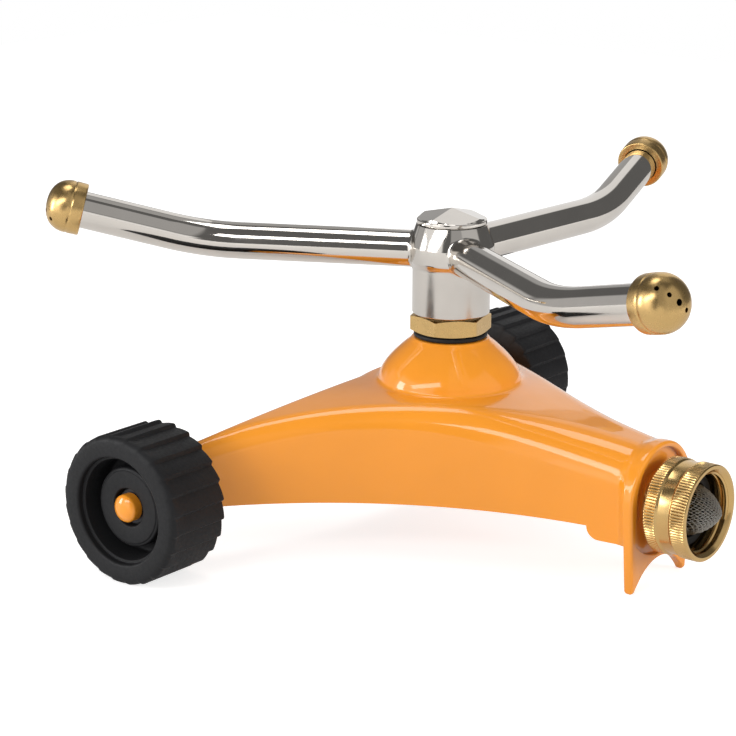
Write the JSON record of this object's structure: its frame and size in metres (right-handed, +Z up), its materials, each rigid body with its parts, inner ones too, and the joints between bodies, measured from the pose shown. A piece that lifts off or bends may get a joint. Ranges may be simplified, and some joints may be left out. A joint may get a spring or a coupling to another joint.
{
  "type": "rotary sprinkler",
  "caption": "Rotary lawn sprinkler: bent spray arms spin on a spindle above a wheeled cast base with a brass hose swivel and a mesh filter cone.",
  "frame": {"origin": "middle of the outer box, at the ground", "axes": "+X towards the hose inlet, +Y along the wheel axles away from the wheel in the picture's foreground, +Z up"},
  "size_m": [0.2467, 0.2538, 0.1204],
  "materials": {
    "orange_paint": "gloss",
    "wheel_plastic": "matte",
    "rubber": "matte",
    "brass": "satin",
    "polished_steel": "polished",
    "hub_steel": "satin",
    "mesh_steel": "woven wire",
    "axle_steel": "turned",
    "dark_steel": "blackened",
    "washer_nylon": "matte",
    "bush_bronze": "sintered"
  },
  "bodies": {
    "base": {"base_casting": "orange_paint", "axle_pin_near": "axle_steel", "axle_pin_far": "axle_steel", "axle_cap_near": "orange_paint", "axle_cap_far": "orange_paint", "push_ring_near": "dark_steel", "push_ring_far": "dark_steel", "wheel_washer_near": "washer_nylon", "wheel_washer_far": "washer_nylon", "inlet_tailpiece": "brass", "tower_washer": "rubber", "spindle": "brass", "spindle_nut": "brass"},
    "rotor": {"rotor_hub": "hub_steel", "hub_cap": "polished_steel", "hub_bush": "bush_bronze", "journal_seal": "rubber", "thrust_washer": "washer_nylon", "top_washer": "washer_nylon", "arm_tube_a": "polished_steel", "arm_tube_b": "polished_steel", "arm_tube_c": "polished_steel", "nozzle_cap_a": "brass", "nozzle_cap_b": "brass", "nozzle_cap_c": "brass"},
    "near_wheel": {"wheel_near": "wheel_plastic"},
    "far_wheel": {"wheel_far": "wheel_plastic"},
    "swivel": {"hose_coupling": "brass", "hose_washer": "rubber", "filter_ring": "rubber", "filter_screen": "mesh_steel"}
  },
  "joints": [
    {"name": "rotor_spin", "type": "hinge", "parent": "base", "child": "rotor", "pos_m": [-0.00314, -0.01335, 0.0994], "axis": [0, 0, 1], "continuous": true},
    {"name": "near_wheel_roll", "type": "hinge", "parent": "base", "child": "near_wheel", "pos_m": [-0.05284, -0.11445, 0.0252], "axis": [0, 1, 0], "continuous": true},
    {"name": "far_wheel_roll", "type": "hinge", "parent": "base", "child": "far_wheel", "pos_m": [-0.05284, 0.08775, 0.0252], "axis": [0, 1, 0], "continuous": true},
    {"name": "hose_swivel", "type": "hinge", "parent": "base", "child": "swivel", "pos_m": [0.08546, -0.01335, 0.0275], "axis": [1, 0, 0], "continuous": true}
  ]
}
